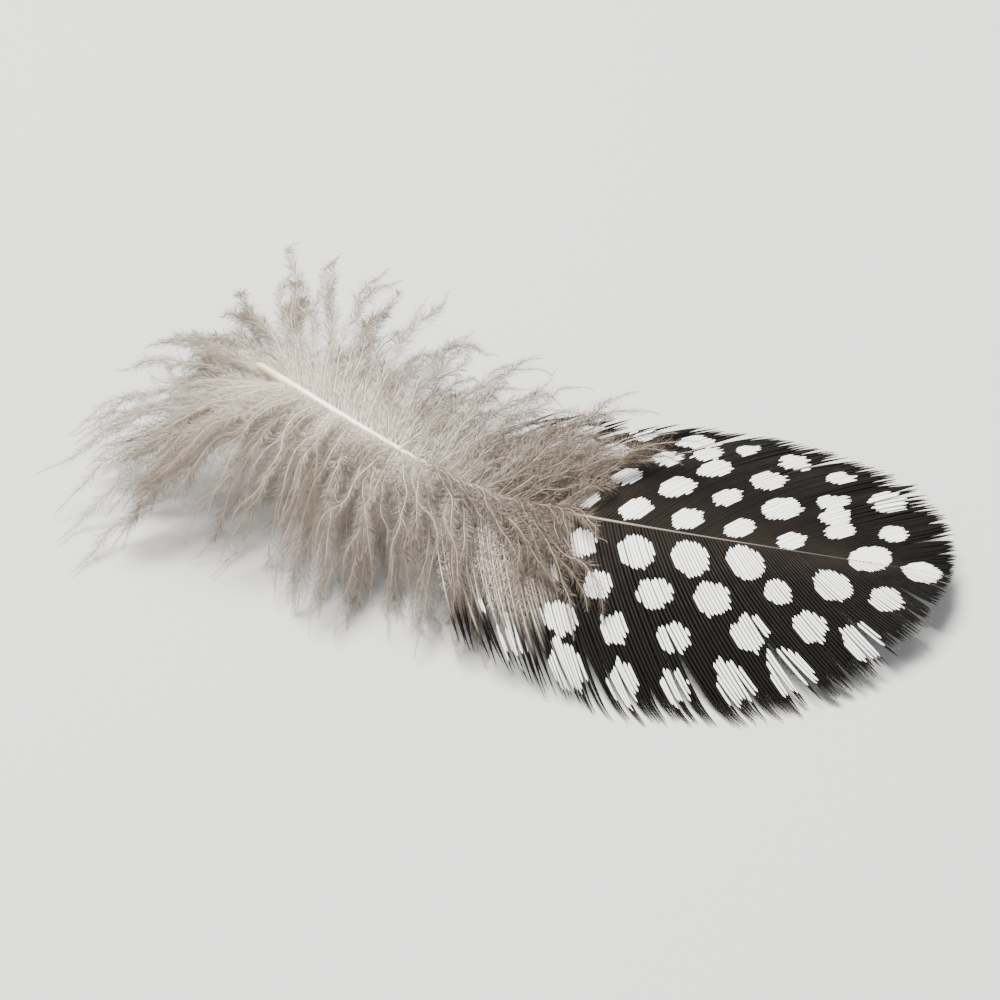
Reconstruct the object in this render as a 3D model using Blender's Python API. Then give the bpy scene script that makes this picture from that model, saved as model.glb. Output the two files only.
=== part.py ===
"""A spotted body feather of a guinea fowl, lying on its underside: one grown piece.

+X runs from the quill's end to the tip of the vane and +Z is up. The surface that the feather
lies on is at Z = 0, and the origin is the middle of its outline on that surface.
The fine barbs are drawn together: the vane is one thin web with a sawn edge and splits, and
the down is tufts that are wide in the middle and pointed at the end.
"""

import math
import random

import bmesh
import bpy
from mathutils import Vector

MM = 0.001

# The shaft: a quill that goes over into the rachis. It is nearly straight up to a bend near the end of
# the down, and nearly straight from there on. The bend turns it sideways and levels it.
SHAFT_LENGTH = 70 * MM
QUILL_END_X = -27.15 * MM
SHAFT_Y = 2.45 * MM
BEND_AT = 0.37
BEND_SOFTNESS = 0.1
SIDEWAYS_BEND = 16 * MM
LEVELLING = 4.5 * MM
QUILL_END_HEIGHT = 12.4 * MM
SHAFT_TIP_HEIGHT = 3.9 * MM
QUILL_RADIUS = 0.72 * MM
RACHIS_TAPER = 0.72
QUILL_END_ROUNDING = 0.03
SHAFT_RINGS = 18
SHAFT_SIDES = 12

# The vane. Its barbs end on an ellipse round a point on the shaft.
VANE_START = 0.40
VANE_CENTRE = 47.5 * MM
VANE_REACH = 24 * MM
VANE_HALF_WIDTH = 20.5 * MM
REAR_BARB_ANGLE = math.radians(112)
BARB_CROWDING = 1.22
BARB_BEND = math.radians(13)
FAR_DROP = 3.6 * MM
NEAR_DROP = 6.6 * MM
WEB_THICKNESS = 0.5 * MM
WEB_EDGE_SHARE = 0.6
BARB_GROUPS = 34
POINTS_ALONG_BARB = 6
SAW_DEPTH = 0.07
SPLITS = {1: (6, 13, 20, 27), -1: (4, 10, 16, 22, 28)}
SPLIT_DEPTH = 0.45
SPLIT_WIDTH = 0.9

# The down is tufts between these two places on the shaft. Each tuft is a tapered oval.
DOWN_START = 0.075
DOWN_END = 0.45
TUFT_STEPS = 5
TUFT_WIDTH = 4.4 * MM
TUFT_THICKNESS = 1.9 * MM
TUFT_END_SHARE = 0.1
TUFT_ROOT = 0.06
TUFT_SIDES = 6

# Its rows, on each side: the upper and the lower one, the rear one behind the quill, whose tufts lie high
# and low by turns, and the afterfeather underneath. Angles are in degrees. A tuft heads for the vane at 0
# and away from it at 180, rises by its pitch where it starts, and turns down by its droop.
UPPER_TUFTS = 10
UPPER_HEADINGS = (128, 58)
UPPER_PITCH = 28
UPPER_LENGTHS = (23 * MM, 20 * MM)
UPPER_DROOP = {1: 50, -1: 92}
LOWER_TUFTS = 9
LOWER_HEADINGS = (120, 62)
LOWER_PITCH = -14
LOWER_LENGTHS = (22 * MM, 23 * MM)
LOWER_DROOP = {1: 42, -1: 56}
REAR_TUFTS = 6
REAR_HEADINGS = (127, 182)
REAR_PITCHES = (2, -20)
REAR_LENGTH = 27 * MM
REAR_DROOP = 34
UNDER_TUFTS = 3
UNDER_END = 0.36
UNDER_HEADINGS = (150, 40)
UNDER_PITCH = -46
UNDER_LENGTH = 14 * MM
UNDER_DROOP = 30
TURNING = 0.6

# How much the tufts differ from each other.
SEED = 7
HEADING_SPREAD = 5
PITCH_SPREAD = 7
DROOP_SPREAD = 10
CURLS = (-8, 24)
LENGTH_SHARES = (0.86, 1.08)
SIZE_SHARES = (0.85, 1.15)

# How softly a barb turns along the surface where it comes down on it, and how high its middle lies then.
SETTLING = 0.7 * MM
VANE_REST = -0.1 * MM
TUFT_REST = -0.05 * MM
TRIM_DEPTH = 6 * MM
TRIM_SIDE = 200 * MM

DOWN_COLOUR = (0.52, 0.46, 0.40, 1)


def clear_scene():
    for old in list(bpy.data.objects):
        bpy.data.objects.remove(old)


def mix(a, b, share):
    return a + (b - a) * share


def settled(height, rest):
    """The height of a soft barb that would be at height, if it can't come under rest."""
    above = height - rest
    return rest + (above + math.hypot(above, SETTLING)) / 2


def sag(share):
    """How far the bend takes the shaft off the straight line between its ends, for a bend of 1."""
    ends = [math.hypot(end - BEND_AT, BEND_SOFTNESS) for end in (0, 1)]
    return math.hypot(share - BEND_AT, BEND_SOFTNESS) - mix(*ends, share)


def shaft_y(share):
    return SHAFT_Y + SIDEWAYS_BEND * sag(share)


def shaft_z(share):
    return mix(QUILL_END_HEIGHT, SHAFT_TIP_HEIGHT, share) + LEVELLING * sag(share)


def shaft_point(share):
    """A point of the shaft's centre line, at a share of its length from the quill's end."""
    return Vector((QUILL_END_X + SHAFT_LENGTH * share, shaft_y(share), shaft_z(share)))


def shaft_radius(share):
    rounding = min(1, (share + QUILL_END_ROUNDING / 4) / QUILL_END_ROUNDING)
    return QUILL_RADIUS * (1 - RACHIS_TAPER * share) * math.sqrt(rounding)


def barb_point(side, along_shaft, along_barb):
    """A point of the vane. along_shaft is 0 at the rear barb and 1 at the tip of the shaft."""
    root_x = SHAFT_LENGTH * mix(VANE_START, 1, along_shaft)
    angle = REAR_BARB_ANGLE * (1 - along_shaft) ** BARB_CROWDING
    tip = Vector((VANE_CENTRE + VANE_REACH * math.cos(angle), VANE_HALF_WIDTH * math.sin(angle)))
    root = Vector((root_x, 0))
    span = tip - root
    leaving = math.atan2(span.y, span.x) + BARB_BEND * min(1, span.y / VANE_HALF_WIDTH)
    middle = root + Vector((math.cos(leaving), math.sin(leaving))) * span.length / 2
    place = root.lerp(middle, along_barb).lerp(middle.lerp(tip, along_barb), along_barb)
    share = place.x / SHAFT_LENGTH
    drop = (FAR_DROP if side > 0 else NEAR_DROP) * (place.y / VANE_HALF_WIDTH) ** 2
    height = settled(shaft_z(share) - drop, VANE_REST)
    return Vector((QUILL_END_X + place.x, shaft_y(share) + side * place.y, height))


def tuft_path(along_shaft, side, heading, pitch, length, droop, curl):
    """Points from inside the shaft outwards. heading is 0 towards the vane and 180 behind the quill.

    On its way the tuft turns down by droop, and towards the vane by curl.
    """
    point = shaft_point(along_shaft) + shaft_radius(along_shaft) * Vector((0, side * 0.45, -0.45))
    points = [point.copy()]
    for k in range(TUFT_STEPS):
        share = (k + 0.5) / TUFT_STEPS
        dip = pitch - droop * share
        turned = heading - curl * share
        point += (length / TUFT_STEPS) * Vector((
            math.cos(turned) * math.cos(dip), side * math.sin(turned) * math.cos(dip), math.sin(dip)))
        points.append(Vector((point.x, point.y, settled(point.z, TUFT_REST))))
    return points


def tuft_share(share):
    """How wide a tuft is there, as a share of its greatest width."""
    return mix(TUFT_END_SHARE, 1, math.sin(math.pi * mix(TUFT_ROOT, 1, share)) ** 0.8)


def mesh_object(name, mesh):
    made = bpy.data.objects.new(name, mesh)
    bpy.context.scene.collection.objects.link(made)
    return made


def helper(made, collection=None):
    """Marks a shape that is only joined to the feather or cut from it."""
    made.hide_render = True
    made.display_type = "WIRE"
    if collection:
        bpy.context.scene.collection.objects.unlink(made)
        collection.objects.link(made)
    return made


def swept(name, points, widths, heights, sides):
    """A closed mesh round a line of points: ovals of these widths and heights, upright across the line."""
    mesh = bmesh.new()
    rings = []
    for k, point in enumerate(points):
        ahead = (points[min(k + 1, len(points) - 1)] - points[max(k - 1, 0)]).normalized()
        across = Vector((0, 0, 1)).cross(ahead).normalized()
        up = ahead.cross(across)
        turns = [math.tau * n / sides for n in range(sides)]
        wide, high = across * widths[k] / 2, up * heights[k] / 2
        rings.append([mesh.verts.new(point + wide * math.cos(t) + high * math.sin(t)) for t in turns])
    for near, far in zip(rings, rings[1:]):
        for n in range(sides):
            mesh.faces.new((near[n], near[n - 1], far[n - 1], far[n])).smooth = True
    mesh.faces.new(rings[0])
    mesh.faces.new(rings[-1])
    bmesh.ops.recalc_face_normals(mesh, faces=mesh.faces)
    bmesh.ops.triangulate(mesh, faces=mesh.faces)
    data = bpy.data.meshes.new(name)
    mesh.to_mesh(data)
    mesh.free()
    return mesh_object(name, data)


def make_shaft():
    shares = [k / SHAFT_RINGS for k in range(SHAFT_RINGS + 1)]
    shares.insert(1, QUILL_END_ROUNDING)
    widths = [2 * shaft_radius(s) for s in shares]
    return swept("feather", [shaft_point(s) for s in shares], widths, widths, SHAFT_SIDES)


def make_vane():
    """One web that crosses the shaft. Past SPLIT_DEPTH it parts at each split, by SPLIT_WIDTH of a group."""
    mesh = bmesh.new()
    thinning = mesh.verts.layers.deform.verify()
    made = {}

    def corner(group, row, lean):
        side = 1 if row > 0 else -1
        along_barb = abs(row) / POINTS_ALONG_BARB
        parted = group in SPLITS[side] and along_barb > SPLIT_DEPTH
        key = (group, row, lean if parted else 0)
        if key not in made:
            if abs(row) == POINTS_ALONG_BARB and group % 2:
                along_barb -= SAW_DEPTH
            shift = lean * SPLIT_WIDTH * (along_barb - SPLIT_DEPTH) if parted else 0
            made[key] = mesh.verts.new(barb_point(side, (group + shift) / BARB_GROUPS, along_barb))
            made[key][thinning][0] = mix(1, WEB_EDGE_SHARE, along_barb)
        return made[key]

    for group in range(BARB_GROUPS - 1):
        for row in range(-POINTS_ALONG_BARB, POINTS_ALONG_BARB):
            mesh.faces.new((corner(group, row, 1), corner(group + 1, row, -1),
                            corner(group + 1, row + 1, -1), corner(group, row + 1, 1)))
    bmesh.ops.remove_doubles(mesh, verts=mesh.verts, dist=0.01 * MM)
    data = bpy.data.meshes.new("vane")
    mesh.to_mesh(data)
    mesh.free()
    vane = mesh_object("vane", data)
    vane.vertex_groups.new(name="thickness")
    web = vane.modifiers.new("web", "SOLIDIFY")
    web.thickness = WEB_THICKNESS
    web.offset = 0
    web.vertex_group = "thickness"
    return helper(vane)


def tuft_rows():
    """(along the shaft, side, heading, pitch, length, droop) of each tuft, in degrees and metres."""
    for side in (1, -1):
        for k in range(UPPER_TUFTS):
            share = k / (UPPER_TUFTS - 1)
            yield (mix(DOWN_START, DOWN_END, share), side, mix(*UPPER_HEADINGS, share ** TURNING),
                   UPPER_PITCH, mix(*UPPER_LENGTHS, share), UPPER_DROOP[side])
        for k in range(LOWER_TUFTS):
            share = (k + 0.5) / LOWER_TUFTS
            yield (mix(DOWN_START, DOWN_END, share), side, mix(*LOWER_HEADINGS, share ** TURNING),
                   LOWER_PITCH, mix(*LOWER_LENGTHS, share), LOWER_DROOP[side])
        for k in range(REAR_TUFTS):
            share = (k + 0.5) / REAR_TUFTS
            yield (DOWN_START, side, mix(*REAR_HEADINGS, share),
                   REAR_PITCHES[k % 2], REAR_LENGTH, REAR_DROOP)
        for k in range(UNDER_TUFTS):
            share = (k + 0.5) / UNDER_TUFTS
            yield (mix(DOWN_START, UNDER_END, share), side, mix(*UNDER_HEADINGS, share),
                   UNDER_PITCH, UNDER_LENGTH, UNDER_DROOP)


def make_tufts():
    chance = random.Random(SEED)
    tufts = bpy.data.collections.new("tufts")
    bpy.context.scene.collection.children.link(tufts)
    tufts.hide_render = True
    shares = [tuft_share(k / TUFT_STEPS) for k in range(TUFT_STEPS + 1)]
    for number, (along, side, heading, pitch, length, droop) in enumerate(tuft_rows(), 1):
        path = tuft_path(
            along, side, math.radians(heading + chance.uniform(-HEADING_SPREAD, HEADING_SPREAD)),
            math.radians(pitch + chance.uniform(-PITCH_SPREAD, PITCH_SPREAD)),
            length * chance.uniform(*LENGTH_SHARES),
            math.radians(droop + chance.uniform(-DROOP_SPREAD, DROOP_SPREAD)),
            math.radians(chance.uniform(*CURLS)))
        size = chance.uniform(*SIZE_SHARES)
        widths = [TUFT_WIDTH * size * share for share in shares]
        heights = [TUFT_THICKNESS * size * share for share in shares]
        helper(swept(f"tuft_{number}", path, widths, heights, TUFT_SIDES), tufts)
    return tufts


def make_surface():
    """What the feather lies on, which trims the tufts that rest on it flat."""
    mesh = bmesh.new()
    bmesh.ops.create_cube(mesh, size=1)
    bmesh.ops.scale(mesh, vec=(TRIM_SIDE, TRIM_SIDE, TRIM_DEPTH), verts=mesh.verts)
    bmesh.ops.translate(mesh, vec=(0, 0, -TRIM_DEPTH / 2), verts=mesh.verts)
    data = bpy.data.meshes.new("surface")
    mesh.to_mesh(data)
    mesh.free()
    return helper(mesh_object("surface", data))


def barb_material():
    material = bpy.data.materials.new("barbs")
    material.use_nodes = True
    shader = material.node_tree.nodes["Principled BSDF"]
    shader.inputs["Base Color"].default_value = DOWN_COLOUR
    shader.inputs["Roughness"].default_value = 0.8
    return material


def join(feather, name, operation, tool=None, tools=None):
    step = feather.modifiers.new(name, "BOOLEAN")
    step.operation = operation
    step.solver = "EXACT"
    if tools:
        step.operand_type = "COLLECTION"
        step.collection = tools
    else:
        step.object = tool


def main():
    clear_scene()
    feather = make_shaft()
    feather.data.materials.append(barb_material())
    join(feather, "vane", "UNION", make_vane())
    join(feather, "tufts", "UNION", tools=make_tufts())
    join(feather, "rest", "DIFFERENCE", make_surface())


main()
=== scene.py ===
"""A guinea fowl's spotted body feather, grown barb by barb.

The shaft, the vane's barbs and the down are lines that this script works out. Geometry nodes
sweep a section along each line, and set barbules along the barbs that have them loose.
"""

import math

import bpy
import numpy as np
from bpy.props import FloatProperty, FloatVectorProperty, IntProperty, PointerProperty
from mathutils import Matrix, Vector


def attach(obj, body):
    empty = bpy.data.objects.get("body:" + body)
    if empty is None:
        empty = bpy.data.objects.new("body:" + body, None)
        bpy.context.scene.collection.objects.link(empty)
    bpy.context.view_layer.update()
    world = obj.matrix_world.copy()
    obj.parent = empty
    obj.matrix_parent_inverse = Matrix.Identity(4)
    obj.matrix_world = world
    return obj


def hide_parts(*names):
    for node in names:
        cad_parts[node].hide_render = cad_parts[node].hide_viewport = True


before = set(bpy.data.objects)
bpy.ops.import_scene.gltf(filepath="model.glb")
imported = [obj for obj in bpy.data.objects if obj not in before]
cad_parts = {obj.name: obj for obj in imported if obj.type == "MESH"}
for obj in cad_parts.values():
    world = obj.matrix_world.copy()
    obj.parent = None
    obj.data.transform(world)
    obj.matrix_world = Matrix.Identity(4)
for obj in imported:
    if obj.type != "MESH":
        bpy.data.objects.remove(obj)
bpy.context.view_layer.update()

bl_info = {
    "name": "Guinea Fowl Feather",
    "version": (1, 0, 0),
    "blender": (4, 5, 0),
    "location": "3D View > Sidebar > Feather",
    "description": "Grows a spotted body feather with its vane and its down",
    "category": "Add Mesh",
}

NODE = "feather"
BAKE_MAP = "OFBake"
FAR, NEAR = 1, -1
SIDE_NAMES = {FAR: "far", NEAR: "near"}


# Properties

def length(name, default, description):
    return FloatProperty(name=name, description=description, default=default, unit="LENGTH", precision=5)


def share(name, default, description):
    return FloatProperty(
        name=name, description=description, default=default, subtype="FACTOR", min=0, max=4)


def angle(name, degrees, description):
    return FloatProperty(
        name=name, description=description, default=math.radians(degrees), subtype="ANGLE")


def count(name, default, description):
    return IntProperty(name=name, description=description, default=default, min=0)


def colour(name, default, description):
    return FloatVectorProperty(
        name=name, description=description, default=default, subtype="COLOR", size=3, min=0, max=1)


class FEATHER_shaft_shape(bpy.types.PropertyGroup):
    size: length("Length", 0.070, "From the quill's end to the tip")
    quill_end: FloatVectorProperty(
        name="Quill's End", description="Where the quill ends", default=(-0.02715, 0.00245, 0.0124),
        subtype="TRANSLATION", unit="LENGTH")
    tip_height: length("Tip Height", 0.0039, "Of the shaft's other end")
    bend_at: share("Bend", 0.37, "Where the shaft bends, from the quill's end")
    bend_softness: share("Bend Softness", 0.1, "How much of the shaft the bend takes")
    sideways: length("Sideways", 0.016, "How far the bend turns the shaft sideways")
    levelling: length("Levelling", 0.0045, "How far the bend levels the shaft")
    quill_radius: length("Quill Radius", 0.00045, "At the bare end")
    vane_radius: length("Vane Radius", 0.00021, "Where the vane starts")
    tip_radius: length("Tip Radius", 0.00004, "Where the shaft runs out")


class FEATHER_vane_shape(bpy.types.PropertyGroup):
    start: share("Start", 0.40, "Where the rear barb leaves the shaft")
    centre: length("Centre", 0.0475, "Of the ellipse that the barbs end on, from the quill's end")
    reach: length("Reach", 0.024, "From that middle to the tip")
    half_width: length("Half Width", 0.0205, "From the shaft to the edge")
    rear_angle: angle("Rear Angle", 112, "Where the rear barb ends on the ellipse, from the tip")
    crowding: share("Crowding", 1.22, "How much the barbs crowd to the tip")
    bend: angle("Bend", 13, "How far a barb bends towards the tip")
    far_drop: length("Far Drop", 0.0036, "How far the far edge hangs")
    near_drop: length("Near Drop", 0.0066, "How far the near edge hangs")
    rest: length("Rest", 0.00015, "How high a barb lies on the surface")
    barbs: count("Barbs", 124, "On each side, without the loose ones")
    loose_barbs: share("Loose Barbs", 0.17, "How far loose barbs go on behind it, as a share of it")
    barb_overlap: share("Overlap", 1.36, "A barb's width as a share of the space it has")
    barb_thickness: share("Thickness", 0.18, "Of a barb, as a share of its width")
    shingle: angle("Shingle", 5, "How far each barb is turned, like a roof tile")
    downy: share("Downy", 0.17, "How far along the vane the bases of the barbs are downy")
    downy_out: share("Downy Out", 0.75, "How far out the rear barb is downy")
    downy_most: share("Downy Most", 0.64, "How far out the loose barbs are downy")
    small_splits: count("Small Splits", 26, "Places on each side where the edge has come apart")


class FEATHER_spot_pattern(bpy.types.PropertyGroup):
    along: length("Along", 0.00185, "Half the size of a spot along the barbs")
    across: length("Across", 0.00155, "Half the size of a spot across the barbs")
    spacing: length("Spacing", 0.0062, "Between the spots of a row at first")
    apart: length("Apart", 0.0054, "The room that spots make for each other")
    joined: count("Joined", 2, "Pairs of spots that run together")
    stretched: share("Stretched", 1.28, "How much longer the spots of the near edge are")
    tip_softness: length("Tip Softness", 0.0004, "How far the white of a barb runs out into a point")
    rim: length("Rim", 0.0026, "The least distance between a spot's middle and the vane's edge")
    wander: share("Wander", 0.02, "How far a spot may move off its row, as a share of its barbs")
    ragged: length("Ragged", 0.00014, "How far the white of single barbs runs over or falls short")


class FEATHER_down_shape(bpy.types.PropertyGroup):
    start: share("Start", 0.06, "Where the down starts on the shaft")
    end: share("End", 0.46, "Where it ends")
    upper: count("Upper", 76, "Barbs on each side of the upper row")
    lower: count("Lower", 56, "Barbs on each side of the lower row")
    rear: count("Rear", 30, "Barbs on each side behind the quill")
    inner: count("Inner", 42, "Short barbs on each side that stand up beside the shaft")
    under: count("Under", 20, "Barbs on each side of the afterfeather")
    wisps: count("Wisps", 9, "Long barbs on each side that reach far behind the quill")
    radius: length("Barb Radius", 0.000072, "Half a barb's thickness")
    barbule: length("Barbule", 0.00142, "A barbule's length")
    barbule_radius: length("Barbule Radius", 0.000018, "Half a barbule's thickness")
    spacing: length("Barbule Spacing", 0.000078, "Along a barb")
    hidden_spacing: length("Hidden Spacing", 0.00013, "Along a barb of the lower rows")
    barbule_angle: angle("Barbule Angle", 40, "Between a barbule and its barb")
    veil: share("Veil", 0.19, "From where on short barbs of each side lie across the shaft")
    clump: count("Clump", 5, "The most barbs that lean together")
    gather: share("Gather", 0.32, "How far they lean together at their ends")
    rest: length("Rest", 0.0004, "How high the down lies on the surface")


class FEATHER_colours(bpy.types.PropertyGroup):
    black: colour("Black", (0.0034, 0.0030, 0.0028), "The vane")
    brown_black: colour("Brown Black", (0.020, 0.015, 0.011), "The vane by the shaft and by the down")
    rear_brown: colour("Rear Brown", (0.13, 0.105, 0.08), "The vane where the down ends")
    white: colour("White", (0.86, 0.855, 0.84), "The spots")
    # Painted shade: the dark lines between the barbs of a spot stand in for the shade between them. The
    # ends of the barbs also darken towards this colour.
    gap: colour("Gap", (0.20, 0.18, 0.16), "Between the barbs of a spot")
    down_root: colour("Down Root", (0.98, 0.93, 0.845), "The down beside the shaft")
    down_middle: colour("Down Middle", (0.84, 0.757, 0.665), "The down halfway out")
    down_tip: colour("Down Tip", (0.40, 0.32, 0.245), "The down at its ends and by the vane")
    dark_down: colour("Dark Down", (0.42, 0.36, 0.30), "What the darkest barbs of the down tend to")
    # Partly painted highlight: the barbs of the down are paler than their barbules, partly their own
    # colour and partly standing in for the light they catch.
    thread_and_highlight: colour("Thread", (0.95, 0.89, 0.80), "The barbs of the down, among their barbules")
    barbule: colour("Barbule", (0.46, 0.39, 0.32), "The barbules' ends")
    horn: colour("Horn", (0.62, 0.53, 0.32), "The quill's end")
    cream: colour("Cream", (0.90, 0.85, 0.69), "The quill")
    umber: colour("Umber", (0.070, 0.058, 0.048), "The shaft in the vane")
    floor: colour("Floor", (0.50, 0.50, 0.495), "The floor")


class FEATHER_stage_shape(bpy.types.PropertyGroup):
    azimuth: angle("Azimuth", 18, "Of the camera, from the front")
    elevation: angle("Elevation", 42, "Of the camera")
    lens: FloatProperty(name="Lens", description="In millimetres", default=85, min=20)
    distance: length("Distance", 0.235, "From the camera to the feather's middle")
    floor: length("Floor", 3.0, "Half the floor's side")


# Numbers

# For the random draws. All but the first also take the number of the side.
SPOT_SEED, VANE_SEED, END_SEED, DOWN_SEED = 5, 20, 60, 40
# Shares of the shaft: how much of it the quill's end takes to round off, and how blunt that end is
QUILL_ROUNDED, QUILL_BLUNT = 0.012, 0.0006


def mix(a, b, t):
    return a + (b - a) * t


def mixed(a, b, t):
    return tuple(mix(x, y, t) for x, y in zip(a, b))


def eased(t):
    t = np.clip(t, 0, 1)
    return t * t * (3 - 2 * t)


def settled(height, rest, softness=0.0007):
    """The height of a soft barb that would be at height, if it can't come under rest."""
    above = height - rest
    return rest + (above + np.hypot(above, softness)) / 2


def drift(rng, at, period):
    """A smooth random course between -1 and 1, read at these places."""
    at = np.asarray(at, float) / period
    low = math.floor(at.min()) - 1
    knots = rng.uniform(-1, 1, math.ceil(at.max()) + 3 - low)
    cell = np.floor(at).astype(int)
    return mix(knots[cell - low], knots[cell - low + 1], eased(at - cell))


def sag(shape, along):
    """How far the bend takes the shaft off the straight line between its ends, for a bend of 1."""
    ends = [math.hypot(end - shape.bend_at, shape.bend_softness) for end in (0, 1)]
    return np.hypot(along - shape.bend_at, shape.bend_softness) - mix(*ends, along)


def shaft_points(shape, along):
    """Points on the shaft's middle, at shares of its length from the quill's end."""
    along = np.asarray(along, float)
    end, bent = shape.quill_end, sag(shape, along)
    return np.stack((
        end[0] + shape.size * along,
        end[1] + shape.sideways * bent,
        mix(end[2], shape.tip_height, along) + shape.levelling * bent), -1)


def shaft_radii(shape, along):
    """The shaft's radius, which tapers to the tip. The quill's end is rounded."""
    along = np.asarray(along, float)
    radii = {0: shape.quill_radius, 0.05: shape.quill_radius, 0.4: shape.vane_radius,
             0.65: shape.vane_radius * 0.55, 1: shape.tip_radius}
    taper = np.interp(along, list(radii), list(radii.values()))
    rounding = np.clip((along + QUILL_BLUNT) / QUILL_ROUNDED, 0, 1)
    return taper * np.sqrt(1 - (1 - rounding) ** 2)


# The vane

# How far the loose barbs behind the vane trail back, and how much narrower their reach gets
LOOSE_TRAIL, LOOSE_NARROWING = 0.7, 0.4
# The least space that a spot keeps, as a share of the room it should have
LEAST_ROOM = 0.74
# Splits of the edge: how far in they start, half their opening, and how far along the edge it is felt
LARGE_SPLIT = (0.47, 0.0105, 0.045)
SMALL_OPENINGS, SMALL_FELT = (0.002, 0.0062), 0.02
# How far neighbouring barbs sway together, as a share of the vane
SWAY = 0.0012
# In metres: how far neighbouring barbs heave together, and how far single ones and loose ones lift
HEAVE, LEAST_LIFT, FREE_LIFT = 0.00035, 0.00012, 0.0011
# In metres: the narrowest and the widest barb
BARB_WIDTHS = (0.00013, 0.00046)


def vane_plan(shaft, vane, root, out):
    """Seen from above: how far along from the quill's end and out from the shaft a barb's points are.

    root is 0 at the rear barb of the web, less for the loose barbs behind it, and 1 at the tip of the
    shaft. out is 0 to 1 along the barb.
    """
    root = np.clip(root, -0.3, 1)
    behind = np.minimum(root, 0)
    root_x = shaft.size * mix(vane.start, 1, root)
    turn = vane.rear_angle * (1 - np.maximum(root, 0)) ** vane.crowding
    tip_x = vane.centre + vane.reach * np.cos(turn) + LOOSE_TRAIL * shaft.size * behind
    tip_y = vane.half_width * np.sin(turn) * (1 + LOOSE_NARROWING * behind)
    half = np.hypot(tip_x - root_x, tip_y) / 2
    leaving = np.arctan2(tip_y, tip_x - root_x) + vane.bend * np.minimum(1, tip_y / vane.half_width)
    middle_x = root_x + np.cos(leaving) * half
    middle_y = np.sin(leaving) * half
    x = mix(mix(root_x, middle_x, out), mix(middle_x, tip_x, out), out)
    y = mix(mix(0, middle_y, out), mix(middle_y, tip_y, out), out)
    return x, y


def vane_points(shaft, vane, side, x, y, lift):
    """Those points in space, on the vane's arched surface."""
    on_shaft = shaft_points(shaft, x / shaft.size)
    drop = (vane.far_drop if side == FAR else vane.near_drop) * (y / vane.half_width) ** 2
    return np.stack((
        on_shaft[..., 0], on_shaft[..., 1] + side * y,
        settled(on_shaft[..., 2] - drop + lift, vane.rest)), -1)


def spot_places(shaft, vane, spots):
    """x, y, heading, size across and size along of each spot.

    They start in rows and make room for each other. One that is too tight or at the edge goes.
    """
    rng = np.random.default_rng(SPOT_SEED)
    tip_room, nudge, pace, steps, steps_between_cuts = 0.0015, 0.001, 0.35, 160, 20
    rows = [(FAR, 0.13), (NEAR, 0.18), (FAR, 0.35), (NEAR, 0.39),
            (FAR, 0.565), (NEAR, 0.595), (FAR, 0.77), (NEAR, 0.79)]
    fine = np.linspace(-vane.loose_barbs, 0.99, 700)
    side, row_out, root = [], [], []
    for number, (row_side, out) in enumerate(rows):
        x, y = vane_plan(shaft, vane, fine, out)
        run = np.concatenate(([0], np.cumsum(np.hypot(np.diff(x), np.diff(y)))))
        first = spots.spacing * (0.1 + 0.5 * (number // 2 % 2) + 0.25 * (row_side == NEAR))
        at = np.arange(first, run[-1] - tip_room, spots.spacing)
        side += [row_side] * len(at)
        row_out += [out] * len(at)
        root += list(np.interp(at, run, fine))
    side, row_out, root = np.array(side), np.array(row_out), np.array(root)
    out = row_out + 0

    def places(root, out):
        x, y = vane_plan(shaft, vane, root, out)
        return np.stack((x, side * y), -1)

    for step in range(steps):
        at = places(root, out)
        away = at[:, None] - at
        gap = np.hypot(away[..., 0], away[..., 1]) + np.eye(len(at))
        push = (np.clip(spots.apart - gap, 0, None) / gap)[..., None] * away
        push = push.sum(1)
        by_root = (places(root + nudge, out) - at) / nudge
        by_out = (places(root, out + nudge) - at) / nudge
        root = root + pace * (push * by_root).sum(1) / (by_root ** 2).sum(1)
        out = out + pace * (push * by_out).sum(1) / (by_out ** 2).sum(1)
        out = np.clip(out, row_out - spots.wander, row_out + spots.wander)
        root = np.clip(root, -vane.loose_barbs, 0.95)
        inside = 1 - np.hypot((at[:, 0] - vane.centre) / vane.reach, at[:, 1] / vane.half_width)
        rim = (inside < spots.rim / vane.reach) & (at[:, 0] > vane.centre)
        tight = gap.min(1) < spots.apart * LEAST_ROOM
        if step % steps_between_cuts == steps_between_cuts - 1 and (rim | tight).any():
            keep = np.arange(len(root)) != np.argmin(np.where(rim, 0, gap.min(1)))
            side, row_out, root, out = side[keep], row_out[keep], root[keep], out[keep]
    at = places(root, out)
    between = np.hypot(*(at[:, None] - at).transpose(2, 0, 1))
    close = 1.1 * spots.apart
    pairs = [(a, b) for a in range(len(at)) for b in range(a) if side[a] == side[b] == FAR
             and row_out[a] != row_out[b] and between[a, b] < close and 0.1 < root[a] < 0.8]
    for a, b in (pairs[n] for n in rng.choice(len(pairs), spots.joined, replace=False)):
        root, out = np.append(root, (root[a] + root[b]) / 2), np.append(out, (out[a] + out[b]) / 2)
        side, row_out = np.append(side, side[a]), np.append(row_out, row_out[a])
    at = places(root, out)
    ahead = places(root, out + 0.01) - at
    heading = np.arctan2(ahead[:, 1], ahead[:, 0])
    by_edge = row_out > 0.75
    size = rng.uniform(0.76, 1.1, len(at)) * np.where(by_edge, 0.92, 1)
    long = size * rng.uniform(0.84, 1.16, len(at))
    long *= np.where((side == NEAR) & by_edge, spots.stretched, 1)
    return [tuple(p) for p in np.column_stack((at, heading, size, long))]


def in_spots(spots, places, x, y, grow):
    """Whether the point is white."""
    white = np.zeros(np.shape(x), bool)
    for px, py, heading, size, long in places:
        dx, dy = x - px, y - py
        u = dx * math.cos(heading) + dy * math.sin(heading)
        v = dy * math.cos(heading) - dx * math.sin(heading)
        white |= np.hypot(u / (spots.along * long + grow), v / (spots.across * size)) < 1
    return white


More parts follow.
